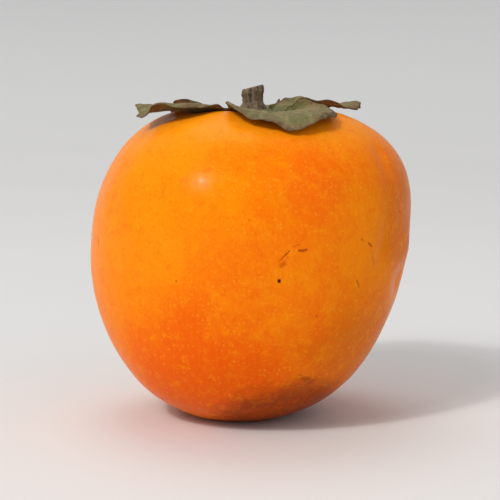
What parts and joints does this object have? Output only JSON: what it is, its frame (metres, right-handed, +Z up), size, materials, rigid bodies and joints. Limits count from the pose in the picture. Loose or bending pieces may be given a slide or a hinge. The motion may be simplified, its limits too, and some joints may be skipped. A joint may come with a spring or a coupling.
{
  "type": "persimmon",
  "caption": "Ripe orange persimmon as picked, standing on a small flat at its blossom end, with a broad-lobed dried calyx on its crown and a short cut stem stub.",
  "frame": {"origin": "on the surface that the fruit stands on, below the centre of its bounding box", "axes": "+Z up, from the blossom end that it stands on towards the calyx and the stem; the fruit leans a little towards +X; the picture looks along +Y, with +X to the right"},
  "size_m": [0.079, 0.0781, 0.0815],
  "materials": {
    "persimmon_skin": "satin",
    "calyx_leaf": "matte",
    "stem_wood": "matte",
    "dried_style": "matte"
  },
  "bodies": {
    "root": {"fruit": "persimmon_skin", "calyx": "calyx_leaf", "stem_stub": "stem_wood", "style_remnant": "dried_style"}
  },
  "joints": []
}
